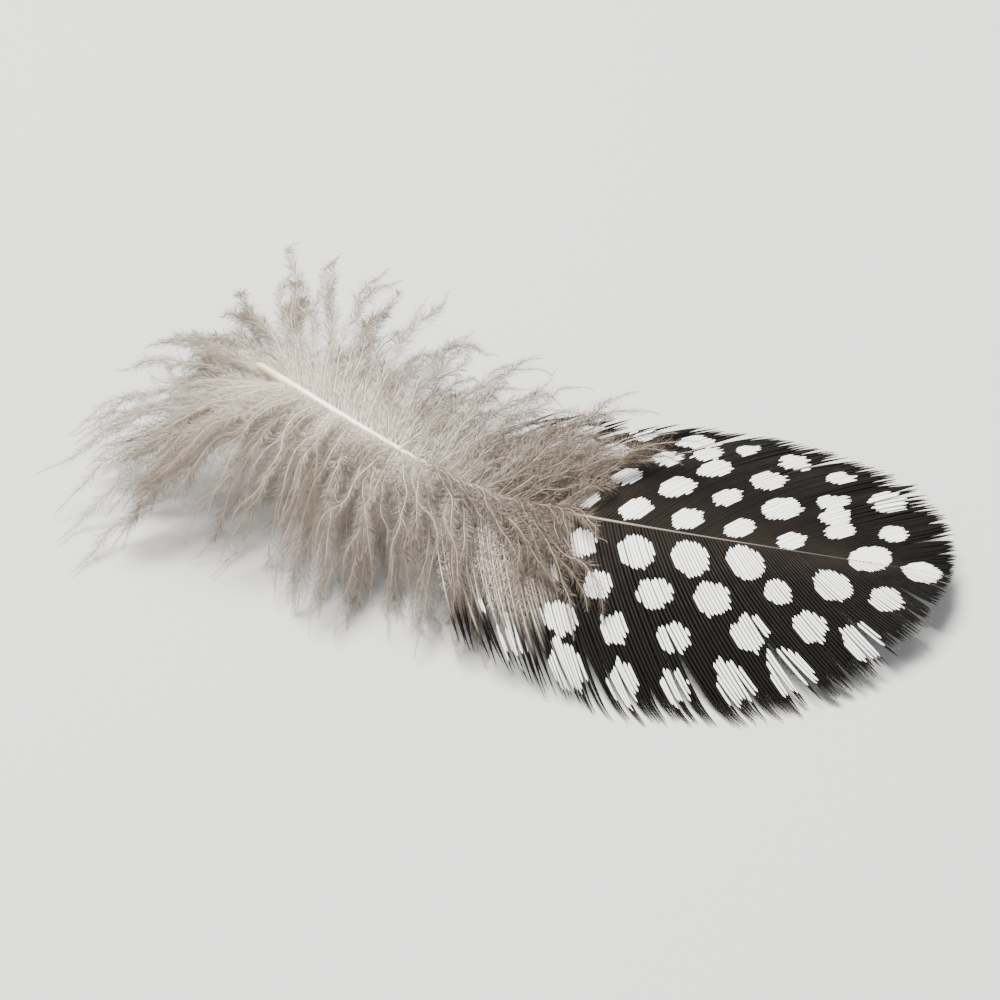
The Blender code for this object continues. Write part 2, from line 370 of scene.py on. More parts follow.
def splits(vane, side, rng):
    """Where the edge has come apart: place, how far in, half its opening, and how far that is felt."""
    large = (0.176, 0.382, 0.588, 0.794) if side == FAR else (0.118, 0.294, 0.47, 0.647, 0.824)
    found = [(at, *LARGE_SPLIT) for at in large]
    for k in range(vane.small_splits):
        at = (k + rng.uniform(0.1, 0.9)) / vane.small_splits
        loose = 1.6 - at if side == NEAR else 1.2 - 0.4 * at
        inner = mix(0.9, 0.5, rng.random() * min(loose, 1))
        found.append((at, inner, rng.uniform(*SMALL_OPENINGS) * loose, SMALL_FELT))
    return found


def leaned(found, root, out):
    """The barb's place at each point of it, once the splits have pushed it aside."""
    moved = np.full(np.shape(out), float(root))
    for at, inner, opening, felt in found:
        away = root - at
        push = np.sign(away) * opening * math.exp(-(away / felt) ** 2)
        moved += push * np.clip((out - inner) / (1 - inner), 0, 1) ** 1.25
    return moved


def crossed_spots(shaft, vane, spots, places, side, root, rng):
    """How far along a barb its points are, some at the edges of spots, and how white they are."""
    fine = np.linspace(0, 1, 420)
    x, y = vane_plan(shaft, vane, root, fine)
    white = in_spots(spots, places, x, side * y, rng.uniform(-1, 1) * spots.ragged)
    long = np.hypot(np.diff(x), np.diff(y)).sum()
    edges = np.flatnonzero(np.diff(white.astype(int)))
    edges = np.sort([fine[e] + rng.uniform(-1, 1) * spots.ragged / long for e in edges])
    soft = spots.tip_softness / long
    even = np.concatenate((np.linspace(0, 0.8, 17), np.linspace(0.8, 1, 8)[1:]))
    at = np.unique(np.clip(np.concatenate((even, edges - soft, edges, edges + soft)), 0, 1))
    if not len(edges):
        return at, np.full(len(at), float(white[0]))
    nearest = np.abs(at[:, None] - edges).min(1)
    inside = (np.searchsorted(edges, at) + white[0]) % 2
    return at, np.clip(0.5 + 0.5 * np.where(inside, nearest, -nearest) / soft, 0, 1)


def barb_room(shaft, vane, root, out):
    """How far it is across a barb to the next one, at each of its points."""
    x, y = vane_plan(shaft, vane, root, out)
    near_x, near_y = vane_plan(shaft, vane, root + 1 / vane.barbs, out)
    ahead_x, ahead_y = vane_plan(shaft, vane, root, out + 0.01)
    run = np.hypot(ahead_x - x, ahead_y - y)
    return np.abs((near_x - x) * (ahead_y - y) - (near_y - y) * (ahead_x - x)) / run


def vane_barbs(shaft, vane, spots, places, side):
    """The vane's barbs as lines, white where they cross a spot."""
    rng = np.random.default_rng(VANE_SEED + side)
    found = splits(vane, side, rng)
    number, behind = vane.barbs, 17
    roots = (np.arange(number) + 0.5 + rng.uniform(-0.1, 0.1, number)) / number
    loose = -vane.loose_barbs * np.linspace(1, 0.03, behind) ** 1.25
    roots = np.concatenate((loose + rng.uniform(-0.4, 0.4, behind) / number, roots))
    fray = 0.022 * drift(rng, roots * number, period=3.2) + rng.uniform(-0.02, 0.02, len(roots))
    heave = HEAVE * drift(rng, roots * number, period=5.5)
    sway = SWAY * drift(rng, roots * number, period=2.3)
    free = eased((0.14 - roots) / 0.24)
    lines = []
    for k, root in enumerate(roots):
        end = 1 + fray[k] - 0.12 * free[k] * rng.random()
        at, white = crossed_spots(shaft, vane, spots, places, side, root, rng)
        t = at * end
        lean = leaned(found, root, t) + sway[k] * t ** 3 + 0.03 * free[k] * rng.uniform(-1, 1) * t ** 2
        x, y = vane_plan(shaft, vane, lean, t)
        room = barb_room(shaft, vane, lean, t)
        lift = heave[k] * t ** 2 + (LEAST_LIFT + FREE_LIFT * free[k]) * rng.uniform(-1, 1) * t ** 3
        reach = min(vane.downy_out * (1 - root / vane.downy), vane.downy_most) + rng.uniform(-0.08, 0.08)
        downy = eased((reach - t) / 0.3 + 0.5)
        taper = np.clip((1.012 - at) / 0.16, 0.06, 1) ** 0.7
        apart = eased((t - 0.7) / 0.3) * (eased((0.5 - root) / 0.35) * 0.5 if side == NEAR else 0.12)
        width = np.clip(room * vane.barb_overlap, *BARB_WIDTHS) * taper
        width *= mix(1, 0.25, downy) * (1 - apart)
        lines.append({
            "points": vane_points(shaft, vane, side, x, y, lift),
            "radius": width / 2, "along": t, "place": mix(vane.start, 1, root), "tone": rng.random(),
            "white": white * (1 - 0.6 * eased(downy * 3)), "downy": downy,
            "tilt": side * vane.shingle * mix(0.7, 1.3, rng.random()),
        })
    return lines


def stretch(line, keep):
    """The part of a line that these of its points make."""
    return {key: value[keep] if isinstance(value, np.ndarray) else value for key, value in line.items()}


def frayed_ends(lines, side):
    """The outer stretch of each barb, for the loose barbules of its end."""
    rng = np.random.default_rng(END_SEED + side)
    ends = []
    for line in lines:
        start = mix(0.80, 0.95, rng.random()) - (0.12 if line["place"] < 0.55 else 0)
        keep = line["along"] > start
        if keep.sum() > 1:
            end = stretch(line, keep)
            end["reach"] = 0.34 * np.clip((1.03 - end["along"]) / 0.1, 0.25, 1)
            ends.append(end)
    return ends


def downy_bases(lines):
    """The downy stretch of each barb that has one."""
    bases = []
    for line in lines:
        keep = line["downy"] > 0.25
        if keep.sum() > 2:
            base = stretch(line, keep)
            base["reach"] = mix(0.3, 1.0, base["downy"])
            bases.append(base)
    return bases


# The down

# Waves of a barb of down: their size in degrees, and how many of them it has
WAVES = (((6, 18), (0.5, 1.3)), ((8, 18), (1.4, 2.8)), ((4, 12), (3.5, 6)))
# How much of the shaft it takes from the veil's start until all its short barbs cross the shaft
VEIL_RISE = 0.16


def down_rows(down, side):
    """Each row on one side by its name: number, place on the shaft, heading, pitch, length and droop.

    A pair is for the first and the last barb of the row. Angles are in degrees.
    """
    pitch, droop, low_droop = (22, 50, 40) if side == FAR else (24, 88, 54)
    start, end = down.start, down.end
    return {
        "upper": (down.upper, (start, end), (132, 52), (pitch, pitch), (0.0235, 0.0195), droop),
        "lower": (down.lower, (start, end), (124, 58), (-10, -14), (0.0225, 0.0225), low_droop),
        "inner": (down.inner, (start + 0.01, end + 0.025), (124, 60), (30, 40), (0.0090, 0.0105), 70),
        "rear": (down.rear, (start, start + 0.03), (122, 182), (2, -14), (0.023, 0.025), 34),
        "wisp": (down.wisps, (start, start), (140, 174), (-4, -10), (0.030, 0.027), 26),
        "under": (down.under, (start, 0.36), (152, 38), (-46, -46), (0.0145, 0.0135), 30),
    }


def down_barb(shaft, rng, at, side, heading, pitch, size, droop, curl):
    """A barb of down as a line from the shaft outwards. Angles are in degrees."""
    steps = 28
    t = (np.arange(steps) + 0.5) / steps
    turns, dips = curl * t, droop * t
    for sizes, numbers in WAVES:
        for bends in (turns, dips):
            phase = rng.uniform(0, math.tau)
            wave = np.sin(math.tau * rng.uniform(*numbers) * t + phase)
            bends += rng.uniform(*sizes) * wave * np.minimum(1, t * 2)
    turned, dip = np.radians(heading - turns), np.radians(pitch - dips)
    step = np.stack((
        np.cos(turned) * np.cos(dip), side * np.sin(turned) * np.cos(dip), np.sin(dip)), -1)
    radius = shaft_radii(shaft, at)
    root = shaft_points(shaft, at) + radius * np.array((0, side * 0.7, 0.6 if pitch > 0 else -0.5))
    return np.vstack((root, root + np.cumsum(step * size / steps, 0)))


def gathered(down, rng, barbs, gather):
    """Leans neighbouring barbs towards one of their clump."""
    left = list(barbs)
    while left:
        size = rng.integers(1, down.clump + 1)
        clump, left = left[:size], left[size:]
        leader = clump[rng.integers(len(clump))].copy()
        pull = gather * rng.uniform(0.4, 1.4)
        for points in clump:
            t = np.linspace(0, 1, len(points))[:, None]
            points += (leader - points) * np.clip(pull * t ** 1.3, 0, 0.85)
    for points in barbs:
        points[1:, 2] = settled(points[1:, 2], down.rest, 0.0009)
    return barbs


def down_barbs(shaft, down, side):
    """Lines of every barb of down on one side, as {row name: lines}."""
    rng = np.random.default_rng(DOWN_SEED + side)
    gather = down.gather * (0.6 if side == NEAR else 1)
    made = {}
    for row, (number, where, heading, pitch, size, droop) in down_rows(down, side).items():
        order = np.arange(number)
        fan = (order + rng.uniform(0.2, 0.8, number)) / number
        turn, lift, grow, curl, fall = (drift(rng, order, 4.5) for _ in range(5))
        barbs = []
        for k in range(number):
            at = mix(*where, fan[k])
            bent = fan[k] ** 0.6 if row in ("upper", "lower") else fan[k]
            short = rng.uniform(0.5, 0.8) if row == "upper" and k % 3 == 1 else 1
            leaving = mix(*heading, bent)
            if row == "inner" and rng.random() < (at - down.veil) / VEIL_RISE:
                leaving *= rng.uniform(-0.8, -0.3)
                short = 0.8
            barbs.append(down_barb(
                shaft, rng, at, side,
                leaving + 8 * turn[k] + rng.uniform(-8, 8),
                mix(*pitch, fan[k]) + 9 * lift[k] + rng.uniform(-7, 7),
                mix(*size, fan[k]) * short * (0.97 + 0.09 * grow[k] + rng.uniform(-0.09, 0.05)),
                droop + 12 * fall[k] + rng.uniform(-10, 10),
                8 + 16 * curl[k] + rng.uniform(-9, 9)))
        lines = []
        for k, points in enumerate(gathered(down, rng, barbs, gather)):
            t = np.linspace(0, 1, len(points))
            end = 0.28 if row in ("rear", "wisp") else 0.4
            fullness = np.clip((1.06 - t) / end, 0.25, 1) * mix(0.7, 1, eased(t / 0.15))
            lines.append({
                "points": points, "radius": down.radius * mix(1.2, 0.35, t), "along": t,
                "place": mix(*where, fan[k]), "tone": rng.random(), "downy": 1.0, "white": 0.0,
                "tilt": 0.0, "reach": rng.uniform(0.8, 1.15) * fullness})
        made[row] = lines
    return made


# Nodes

# What a barb and a barbule take of half a column of the map, and how far up it a barbule reaches
BARB_COLUMN, BARBULE_COLUMN, BARBULE_REACH = 0.42, 0.4, 0.012


def fill(tree, socket, value):
    """Gives a socket its value, which may be another socket, or a list of them."""
    for part in value if isinstance(value, list) else [value]:
        if isinstance(part, bpy.types.NodeSocket):
            tree.links.new(part, socket)
        else:
            socket.default_value = part


def feed(tree, node, **values):
    """Gives values to a node's inputs by their names, with _ for a space."""
    for key, value in values.items():
        name = key.replace("_", " ")
        fill(tree, next(s for s in node.inputs if s.enabled and s.name == name), value)


def add(tree, kind, *values, settings=None, **by_name):
    """Adds a node, gives values to its inputs in order or by name, and returns its first output."""
    node = tree.nodes.new(kind)
    for key, value in (settings or {}).items():
        setattr(node, key, value)
    for socket, value in zip([s for s in node.inputs if s.enabled], values):
        fill(tree, socket, value)
    feed(tree, node, **by_name)
    return next((s for s in node.outputs if s.enabled), None)


def node_tree(name, **inputs):
    """A tree with a geometry and these named inputs, as (tree, {name: socket})."""
    tree = bpy.data.node_groups.new(name, "GeometryNodeTree")
    tree.interface.new_socket(name="Geometry", in_out="INPUT", socket_type="NodeSocketGeometry")
    for label, kind in inputs.items():
        label = label.replace("_", " ")
        tree.interface.new_socket(name=label, in_out="INPUT", socket_type=f"NodeSocket{kind}")
    tree.interface.new_socket(name="Geometry", in_out="OUTPUT", socket_type="NodeSocketGeometry")
    start = tree.nodes.new("NodeGroupInput")
    return tree, {s.name: s for s in start.outputs if s.name}


def named(tree, name):
    return add(tree, "GeometryNodeInputNamedAttribute", name)


def maths(tree, operation, a, b=0.0):
    return add(tree, "ShaderNodeMath", a, b, settings={"operation": operation})


def product(tree, value, *others):
    for other in others:
        value = maths(tree, "MULTIPLY", value, other)
    return value


def mapped(tree, geometry, barbs, sideways, onwards):
    """Stores the map: each barb has a column, and onwards is how far up it a corner is."""
    column = maths(tree, "ADD", maths(tree, "ADD", named(tree, "barb"), 0.5), sideways)
    place = add(tree, "ShaderNodeCombineXYZ", maths(tree, "DIVIDE", column, barbs), onwards, 0.0)
    return add(tree, "GeometryNodeStoreNamedAttribute", Geometry=geometry, Name=BAKE_MAP, Value=place,
               settings={"data_type": "FLOAT2", "domain": "CORNER"})


def position(tree):
    """Each point's place, as {axis: socket}."""
    split = tree.nodes.new("ShaderNodeSeparateXYZ")
    tree.links.new(add(tree, "GeometryNodeInputPosition"), split.inputs[0])
    return split.outputs


def finished(tree, geometry, material, rest=0.00003, softness=0.0002):
    """Realizes it, keeps it above the surface it lies on, and coats it."""
    real = add(tree, "GeometryNodeRealizeInstances", Geometry=geometry)
    place = position(tree)
    above = maths(tree, "SUBTRACT", place["Z"], rest)
    soft = maths(tree, "SQRT", maths(tree, "ADD", product(tree, above, above), softness ** 2))
    height = maths(tree, "ADD", product(tree, maths(tree, "ADD", above, soft), 0.5), rest)
    lain = add(tree, "ShaderNodeCombineXYZ", place["X"], place["Y"], height)
    real = add(tree, "GeometryNodeSetPosition", Geometry=real, Position=lain)
    coated = add(tree, "GeometryNodeSetMaterial", Geometry=real, Material=material)
    end = tree.nodes.new("NodeGroupOutput")
    tree.links.new(coated, end.inputs[0])
    return tree


def upright(tree, lines):
    """The lines as curves whose normals look up."""
    curves = add(tree, "GeometryNodeMeshToCurve", lines)
    return add(tree, "GeometryNodeSetCurveNormal", curves, settings={"mode": "Z_UP"})


def sweep_tree():
    """Sweeps a flattened round section along each line."""
    tree, given = node_tree(
        "Barb sweep", Sides="Int", Thickness="Float", Barbs="Float", Material="Material")
    lines = upright(tree, given["Geometry"])
    turned = add(tree, "GeometryNodeSetCurveTilt", Curve=lines, Tilt=named(tree, "tilt"))
    ring = add(tree, "GeometryNodeCurvePrimitiveCircle", Resolution=given["Sides"], Radius=1.0)
    flat = add(tree, "ShaderNodeCombineXYZ", 1.0, given["Thickness"], 1.0)
    section = add(tree, "GeometryNodeTransform", Geometry=ring, Scale=flat)
    section = add(tree, "GeometryNodeStoreNamedAttribute", Geometry=section, Name="across",
                  Value=position(tree)["X"])
    swept = add(tree, "GeometryNodeCurveToMesh", Curve=turned, Profile_Curve=section,
                Scale=named(tree, "radius"), Fill_Caps=True)
    sideways = product(tree, named(tree, "across"), BARB_COLUMN)
    with_map = mapped(tree, swept, given["Barbs"], sideways, named(tree, "along"))
    smooth = add(tree, "GeometryNodeSetShadeSmooth", Geometry=with_map)
    return finished(tree, smooth, given["Material"])


def barbule_tree():
    """Sets barbules on both sides of each line, at an angle to it. Angles are in radians."""
    tree, given = node_tree(
        "Barbules", Barbule="Object", Spacing="Float", Angle="Float", Angle_Spread="Float",
        Roll="Float", Size_Spread="Float", Barbs="Float", Seed="Int", Material="Material")
    lines = upright(tree, given["Geometry"])
    stations = add(tree, "GeometryNodeResampleCurve", Curve=lines, Length=given["Spacing"],
                   settings={"mode": "LENGTH"})
    facing = add(tree, "FunctionNodeAxesToRotation",
                 Primary_Axis=add(tree, "GeometryNodeInputTangent"),
                 Secondary_Axis=add(tree, "GeometryNodeInputNormal"),
                 settings={"primary_axis": "X", "secondary_axis": "Y"})
    source = tree.nodes.new("GeometryNodeObjectInfo")
    tree.links.new(given["Barbule"], source.inputs["Object"])

    def chance(spread, step):
        seed = maths(tree, "ADD", given["Seed"], float(step))
        least = product(tree, spread, -1.0)
        return add(tree, "FunctionNodeRandomValue", Min=least, Max=spread, Seed=seed)

    def turned(rotation, axis, turn):
        by = add(tree, "FunctionNodeAxisAngleToRotation", Axis=axis, Angle=turn)
        return add(tree, "FunctionNodeRotateRotation", Rotation=rotation, Rotate_By=by,
                   settings={"rotation_space": "LOCAL"})

    any_turn = 3.1
    rows = []
    for step, side in ((0, 1.0), (10, -1.0)):
        swing = maths(tree, "ADD", given["Angle"], chance(given["Angle Spread"], step))
        rotation = turned(facing, (1, 0, 0), chance(given["Roll"], step + 1))
        rotation = turned(rotation, (0, 0, 1), product(tree, swing, side))
        rotation = turned(rotation, (1, 0, 0), chance(any_turn, step + 2))
        size = maths(tree, "ADD", chance(given["Size Spread"], step + 3), 1.0)
        rows.append(add(
            tree, "GeometryNodeInstanceOnPoints", Points=stations, Instance=source.outputs["Geometry"],
            Rotation=rotation, Scale=product(tree, size, named(tree, "reach"))))
    both = add(tree, "GeometryNodeJoinGeometry", rows)
    real = add(tree, "GeometryNodeRealizeInstances", Geometry=both)
    further = product(tree, named(tree, "outward"), BARBULE_REACH)
    onwards = maths(tree, "ADD", named(tree, "along"), further)
    sideways = product(tree, named(tree, "across"), BARBULE_COLUMN)
    with_map = mapped(tree, real, given["Barbs"], sideways, onwards)
    return finished(tree, with_map, given["Material"])


def trees():
    """The tree that sweeps barbs and the one that sets barbules."""
    made = bpy.data.node_groups
    return made.get("Barb sweep") or sweep_tree(), made.get("Barbules") or barbule_tree()


# Pieces

def linked(name, mesh):
    made = bpy.data.objects.new(name, mesh)
    bpy.context.scene.collection.objects.link(made)
    return made


def store(mesh, key, columns):
    """Stores a value for each of the mesh's points."""
    values = np.concatenate(columns).astype(np.float32)
    mesh.attributes.new(key, "FLOAT", "POINT").data.foreach_set("value", values)


def line_mesh(name, lines):
    """A mesh of one chain of edges for each line, with the line's number and values on its points."""
    sizes = [len(line["points"]) for line in lines]
    lines = [{**line, "barb": number} for number, line in enumerate(lines)]
    first = np.concatenate(([0], np.cumsum(sizes)[:-1]))
    edges = np.concatenate([
        np.stack((np.arange(n - 1), np.arange(1, n)), -1) + f for f, n in zip(first, sizes)])
    points = np.concatenate([line["points"] for line in lines])
    mesh = bpy.data.meshes.new(name)
    mesh.vertices.add(len(points))
    mesh.vertices.foreach_set("co", points.astype(np.float32).ravel())
    mesh.edges.add(len(edges))
    mesh.edges.foreach_set("vertices", edges.astype(np.int32).ravel())
    for key in lines[0]:
        if key != "points":
            store(mesh, key, [np.broadcast_to(line[key], n) for line, n in zip(lines, sizes)])
    mesh.update()
    return mesh


def grown(name, lines, tree, **values):
    """The plain mesh that this tree makes of the lines."""
    carrier = linked(name + "_lines", line_mesh(name + "_lines", lines))
    modifier = carrier.modifiers.new(tree.name, "NODES")
    modifier.node_group = tree
    values["barbs"] = float(len(lines))
    for socket in tree.interface.items_tree:
        key = socket.name.replace(" ", "_").lower()
        if socket.in_out == "INPUT" and key in values:
            modifier[socket.identifier] = values[key]
    carrier.update_tag()
    graph = bpy.context.evaluated_depsgraph_get()
    mesh = bpy.data.meshes.new_from_object(carrier.evaluated_get(graph))
    mesh.name = name
    carrier.modifiers.clear()
    old = carrier.data
    bpy.data.objects.remove(carrier)
    bpy.data.meshes.remove(old)
    if not mesh.polygons:
        raise RuntimeError(f"{name} has no faces")
    return mesh


def dressed(piece):
    """Hands a finished piece over to the frame."""
    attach(piece, "root")
    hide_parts(NODE)


def joined(name, meshes):
    """One object of several meshes that share their materials."""
    parts = [linked(f"{name}_{k}", mesh) for k, mesh in enumerate(meshes)]
    with bpy.context.temp_override(active_object=parts[0], selected_editable_objects=parts):
        bpy.ops.object.join()
    parts[0].name = name
    return parts[0]


def barbule_shape(size, radius):
    """A barbule along X: a thin bent spindle of four faces, with its own values on its points."""
    middle, bent = 0.4, radius * 1.6
    points = [(0, 0, 0), (size * middle, bent, -radius), (size * middle, bent, radius), (size, 0, 0)]
    mesh = bpy.data.meshes.new("barbule")
    mesh.from_pydata(points, [], [(0, 1, 2), (3, 2, 1), (0, 3, 1), (0, 2, 3)])
    store(mesh, "outward", [(0, middle, middle, 1)])
    store(mesh, "across", [(0, -1, 1, 0)])
    for face in mesh.polygons:
        face.use_smooth = True
    return linked("barbule_shape", mesh)


# Materials

def material_with(name):
    """A material, its tree, and its shader with nothing linked."""
    material = bpy.data.materials.new(name)
    material.use_nodes = True
    tree = material.node_tree
    shader = next(n for n in tree.nodes if n.type == "BSDF_PRINCIPLED")
    return material, tree, shader


def value_of(tree, name):
    node = tree.nodes.new("ShaderNodeAttribute")
    node.attribute_name = name
    return node.outputs["Fac"]


def ramp(tree, value, stops):
    """A colour ramp over (place, colour) stops."""
    node = tree.nodes.new("ShaderNodeValToRGB")
    elements = node.color_ramp.elements
    while len(elements) < len(stops):
        elements.new(0.5)
    for element, (place, shade) in zip(elements, stops):
        element.position = place
        element.color = (*shade, 1)
    tree.links.new(value, node.inputs["Fac"])
    return node.outputs["Color"]


def blended(tree, factor, a, b, how="MIX"):
    """Two colours mixed by a factor. Colours are sockets or triples."""
    a, b = (c if isinstance(c, bpy.types.NodeSocket) else (*c, 1) for c in (a, b))
    return add(tree, "ShaderNodeMix", factor, a, b, settings={"data_type": "RGBA", "blend_type": how})


def spread(tree, value, low, high, to_low=0.0, to_high=1.0):
    """The value mapped from one range to another, softly at both ends."""
    return add(tree, "ShaderNodeMapRange", Value=value, From_Min=low, From_Max=high, To_Min=to_low,
               To_Max=to_high, settings={"interpolation_type": "SMOOTHSTEP"})


def noise(tree, scale, detail=2.0, stretch=None):
    """Noise over object coordinates."""
    place = tree.nodes.new("ShaderNodeTexCoord").outputs["Object"]
    if stretch:
        place = add(tree, "ShaderNodeMapping", Vector=place, Scale=stretch)
    return add(tree, "ShaderNodeTexNoise", Vector=place, Scale=scale, Detail=detail)


def down_shades(tree, look):
    """The down's colour: pale by the shaft, darker outwards and towards the vane."""
    along, place, tone, outward = (value_of(tree, key) for key in ("along", "place", "tone", "outward"))
    outwards = ramp(tree, along, [
        (0.0, look.down_root), (0.26, look.down_root), (0.55, look.down_middle), (0.95, look.down_tip)])
    by_vane = spread(tree, place, 0.2, 0.47, to_high=0.9)
    shade = blended(tree, by_vane, outwards, look.down_tip)
    outer = spread(tree, along, 0.1, 0.7)
    shade = blended(tree, product(tree, tone, outer, 0.4), shade, look.dark_down)
    # The barbs, whose outward is 0, are painted paler towards this colour: partly their own colour,
    # partly a painted highlight.
    thread_and_highlight = spread(tree, outward, 0.15, 0.0, to_high=0.4)
    shade = blended(tree, product(tree, thread_and_highlight, outer), shade, look.thread_and_highlight)
    barbules = spread(tree, outward, 0.0, 0.5, to_high=0.55)
    return blended(tree, product(tree, barbules, outer), shade, look.barbule)


def down_material(look):
    material, tree, shader = material_with("down")
    shade = down_shades(tree, look)
    feed(tree, shader, Base_Color=shade, Roughness=0.85, Specular_IOR_Level=0.25)
    glow = add(tree, "ShaderNodeBsdfTranslucent", Color=shade)
    both = add(tree, "ShaderNodeMixShader", 0.55, shader.outputs[0], glow)
    out = next(n for n in tree.nodes if n.type == "OUTPUT_MATERIAL")
    feed(tree, out, Surface=both)
    return material


def vane_material(look):
    material, tree, shader = material_with("vane")
    white, along, across, tone, downy, place = (
        value_of(tree, key) for key in ("white", "along", "across", "tone", "downy", "place"))
    off_middle = maths(tree, "ABSOLUTE", across)
    brownish = product(tree, spread(tree, along, 0.4, 0.0), noise(tree, 260.0, 3.0))
    dark = blended(tree, brownish, look.black, look.brown_black)
    dark = blended(tree, spread(tree, off_middle, 0.25, 0.0, to_high=0.3), dark, look.brown_black)
    rear = product(tree, spread(tree, place, 0.56, 0.42), spread(tree, along, 0.6, 0.05),
                   maths(tree, "ADD", product(tree, tone, 0.6), 0.4))
    dark = blended(tree, rear, dark, look.rear_brown)
    # Painted shade between barbs: a spot's white darkens towards the gap colour at each barb's edges.
    edge = maths(tree, "ADD", off_middle, product(tree, tone, 0.3))
    pale = blended(tree, spread(tree, edge, 0.74, 1.1), look.white, look.gap)
    pointed = maths(tree, "SUBTRACT", white, product(tree, off_middle, 0.5))
    pointed = maths(tree, "ADD", pointed, product(tree, tone, 0.1))
    shade = blended(tree, spread(tree, pointed, 0.26, 0.36), dark, pale)
    # The ends of the barbs darken at random towards the same colour.
    tip = product(tree, spread(tree, along, 0.93, 1.0, to_high=0.7), tone)
    shade = blended(tree, tip, shade, look.gap)
    shade = blended(tree, downy, shade, down_shades(tree, look))
    roughness = spread(tree, noise(tree, 900.0), 0.3, 0.7, 0.5, 0.68)
    feed(tree, shader, Base_Color=shade, Roughness=roughness, Specular_IOR_Level=0.09)
    return material


def shaft_material(look):
    material, tree, shader = material_with("shaft")
    shade = ramp(tree, value_of(tree, "along"), [
        (0.0, look.horn), (0.025, look.horn), (0.05, mixed(look.horn, look.cream, 0.6)),
        (0.10, look.cream), (0.22, look.cream), (0.32, mixed(look.cream, look.umber, 0.25)),
        (0.43, mixed(look.cream, look.umber, 0.45)), (0.60, mixed(look.cream, look.umber, 0.88)),
        (0.80, look.umber), (1.0, look.black)])
    streaks = noise(tree, 500.0, 4.0, (0.12, 1.0, 1.0))
    shade = blended(tree, spread(tree, streaks, 0.45, 0.75, to_high=0.3), shade, look.horn, "MULTIPLY")
    bump = add(tree, "ShaderNodeBump", Strength=0.25, Distance=0.00006, Height=streaks)
    feed(tree, shader, Base_Color=shade, Roughness=spread(tree, streaks, 0.3, 0.7, 0.22, 0.4),
         Coat_Weight=0.2, Normal=bump)
    return material


def floor_material(look):
    material, tree, shader = material_with("floor")
    feed(tree, shader, Base_Color=(*look.floor, 1), Roughness=0.75, Specular_IOR_Level=0.2)
    return material


def once(name, make, look):
    return bpy.data.materials.get(name) or make(look)


# Operators

class FEATHER_OT_shaft(bpy.types.Operator):
    """Make the quill and the rachis"""
    bl_idname = "feather.shaft"
    bl_label = "Shaft"

    def execute(self, context):
        scene = context.scene
        shape = scene.feather_shaft
        along = np.concatenate((np.linspace(0, QUILL_ROUNDED, 8), np.linspace(QUILL_ROUNDED, 1, 90)[1:]))
        line = {
            "points": shaft_points(shape, along), "radius": shaft_radii(shape, along), "along": along,
            "place": along, "tone": 0.5, "tilt": 0.0}
        sweep, _ = trees()
        mesh = grown("shaft", [line], sweep, sides=20, thickness=1.0,
                     material=once("shaft", shaft_material, scene.feather_colours))
        dressed(linked("shaft", mesh))
        return {"FINISHED"}


class FEATHER_OT_vane(bpy.types.Operator):
    """Make the barbs of the vane on both sides, with their white spots"""
    bl_idname = "feather.vane"
    bl_label = "Vane"

    def execute(self, context):
        scene = context.scene
        shaft, vane, spots = scene.feather_shaft, scene.feather_vane, scene.feather_spots
        places = spot_places(shaft, vane, spots)
        coat = once("vane", vane_material, scene.feather_colours)
        sweep, barbules = trees()
        fringe, fluff = [], []
        for side in (FAR, NEAR):
            name = f"vane_{SIDE_NAMES[side]}"
            lines = vane_barbs(shaft, vane, spots, places, side)
            mesh = grown(name, lines, sweep, sides=4, thickness=vane.barb_thickness, material=coat)
            dressed(linked(name, mesh))
            fringe += frayed_ends(lines, side)
            fluff += downy_bases(lines)
        down = scene.feather_down
        shape = barbule_shape(size=0.0011, radius=0.000024)
        mesh = grown(
            "vane_fringe", fringe, barbules, barbule=shape, spacing=0.00013, angle=math.radians(34),
            angle_spread=0.2, roll=0.5, size_spread=0.3, seed=5, material=coat)
        dressed(linked("vane_fringe", mesh))
        mesh = grown(
            "vane_fluff", fluff, barbules, barbule=shape, spacing=down.spacing * 1.7,
            angle=down.barbule_angle, angle_spread=0.3, roll=1.2, size_spread=0.3, seed=6, material=coat)
        dressed(linked("vane_fluff", mesh))
        bpy.data.objects.remove(shape)
        return {"FINISHED"}


class FEATHER_OT_down(bpy.types.Operator):
    """Make the down on both sides, behind the quill and underneath"""
    bl_idname = "feather.down"
    bl_label = "Down"

    def execute(self, context):
        scene = context.scene
        shaft, down = scene.feather_shaft, scene.feather_down
        coat = once("down", down_material, scene.feather_colours)
        sweep, barbules = trees()
        shape = barbule_shape(down.barbule, down.barbule_radius)
        for side in (FAR, NEAR):
            rows = down_barbs(shaft, down, side)
            rows["rear"] += rows.pop("wisp")
            for number, (row, lines) in enumerate(rows.items()):
                name = f"down_{row}_{SIDE_NAMES[side]}"
                barbs = grown(name, lines, sweep, sides=3, thickness=1.0, material=coat)
                spacing = down.hidden_spacing if row in ("lower", "under") else down.spacing
                fluff = grown(
                    name + "_barbules", lines, barbules, barbule=shape, spacing=spacing,
                    angle=down.barbule_angle, angle_spread=0.35, roll=1.3, size_spread=0.35,
                    seed=10 * number + side, material=coat)
                dressed(joined(name, [barbs, fluff]))
        bpy.data.objects.remove(shape)
        return {"FINISHED"}


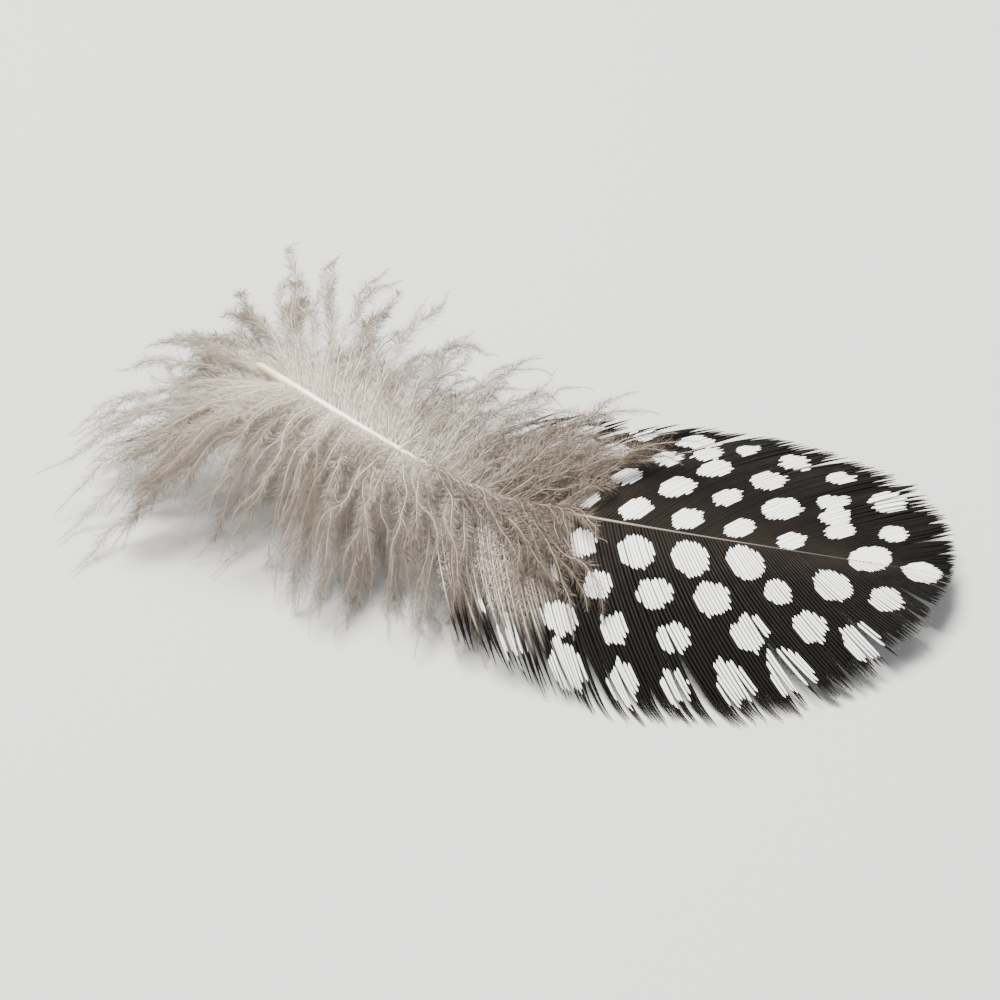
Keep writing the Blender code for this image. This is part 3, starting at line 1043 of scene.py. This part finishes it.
class FEATHER_OT_stage(bpy.types.Operator):
    """Make the floor, the lights and the camera"""
    bl_idname = "feather.stage"
    bl_label = "Stage"

    def execute(self, context):
        scene = context.scene
        stage = scene.feather_stage
        half = stage.floor
        mesh = bpy.data.meshes.new("floor")
        corners = [(-half, -half, 0), (half, -half, 0), (half, half, 0), (-half, half, 0)]
        mesh.from_pydata(corners, [], [(0, 1, 2, 3)])
        mesh.materials.append(once("floor", floor_material, scene.feather_colours))
        linked("floor", mesh)
        world = bpy.data.worlds.new("studio")
        world.use_nodes = True
        background = next(n for n in world.node_tree.nodes if n.type == "BACKGROUND")
        feed(world.node_tree, background, Color=(0.96, 0.98, 1.0, 1), Strength=0.43)
        scene.world = world
        self.lamp("key", place=(-0.20, 0.08, 0.66), size=0.35, power=21.5, shade=(1.0, 0.98, 0.95))
        self.lamp("fill", place=(0.9, -1.0, 0.7), size=1.0, power=8.8, shade=(0.95, 0.97, 1.0))
        target = Vector((-0.0004, -0.0006, 0.004))
        around, up = stage.azimuth, stage.elevation
        away = Vector((
            math.sin(around) * math.cos(up), -math.cos(around) * math.cos(up), math.sin(up)))
        data = bpy.data.cameras.new("camera")
        data.lens = stage.lens
        data.clip_start = 0.01
        camera = linked("camera", data)
        camera.location = target + away * stage.distance
        camera.rotation_euler = (-away).to_track_quat("-Z", "Y").to_euler()
        scene.camera = camera
        return {"FINISHED"}

    def lamp(self, name, place, size, power, shade):
        """A square lamp that shines at the origin."""
        data = bpy.data.lights.new(name, "AREA")
        data.size = size
        data.energy = power
        data.color = shade
        lamp = linked(name, data)
        lamp.location = place
        lamp.rotation_euler = (-Vector(place)).to_track_quat("-Z", "Y").to_euler()


class FEATHER_PT_panel(bpy.types.Panel):
    """Sizes, colours and steps of the feather"""
    bl_idname = "FEATHER_PT_panel"
    bl_label = "Guinea Fowl Feather"
    bl_space_type = "VIEW_3D"
    bl_region_type = "UI"
    bl_category = "Feather"

    def draw(self, context):
        for name, (_, label) in GROUPS.items():
            box = self.layout.box()
            box.label(text=label)
            settings = getattr(context.scene, name)
            for key in settings.bl_rna.properties.keys():
                if key not in ("rna_type", "name"):
                    box.prop(settings, key)
        for step in STEPS:
            self.layout.operator(step.bl_idname)


GROUPS = {
    "feather_shaft": (FEATHER_shaft_shape, "Shaft"),
    "feather_vane": (FEATHER_vane_shape, "Vane"),
    "feather_spots": (FEATHER_spot_pattern, "Spots"),
    "feather_down": (FEATHER_down_shape, "Down"),
    "feather_colours": (FEATHER_colours, "Colours"),
    "feather_stage": (FEATHER_stage_shape, "Stage"),
}
STEPS = (FEATHER_OT_shaft, FEATHER_OT_vane, FEATHER_OT_down, FEATHER_OT_stage)
CLASSES = (*(group for group, _ in GROUPS.values()), *STEPS, FEATHER_PT_panel)


def register():
    for kind in CLASSES:
        bpy.utils.register_class(kind)
    for name, (group, _) in GROUPS.items():
        setattr(bpy.types.Scene, name, PointerProperty(type=group))


def unregister():
    for name in GROUPS:
        delattr(bpy.types.Scene, name)
    for kind in reversed(CLASSES):
        bpy.utils.unregister_class(kind)


def main():
    register()
    bpy.ops.feather.shaft()
    bpy.ops.feather.vane()
    bpy.ops.feather.down()
    bpy.ops.feather.stage()


if __name__ == "__main__":
    main()
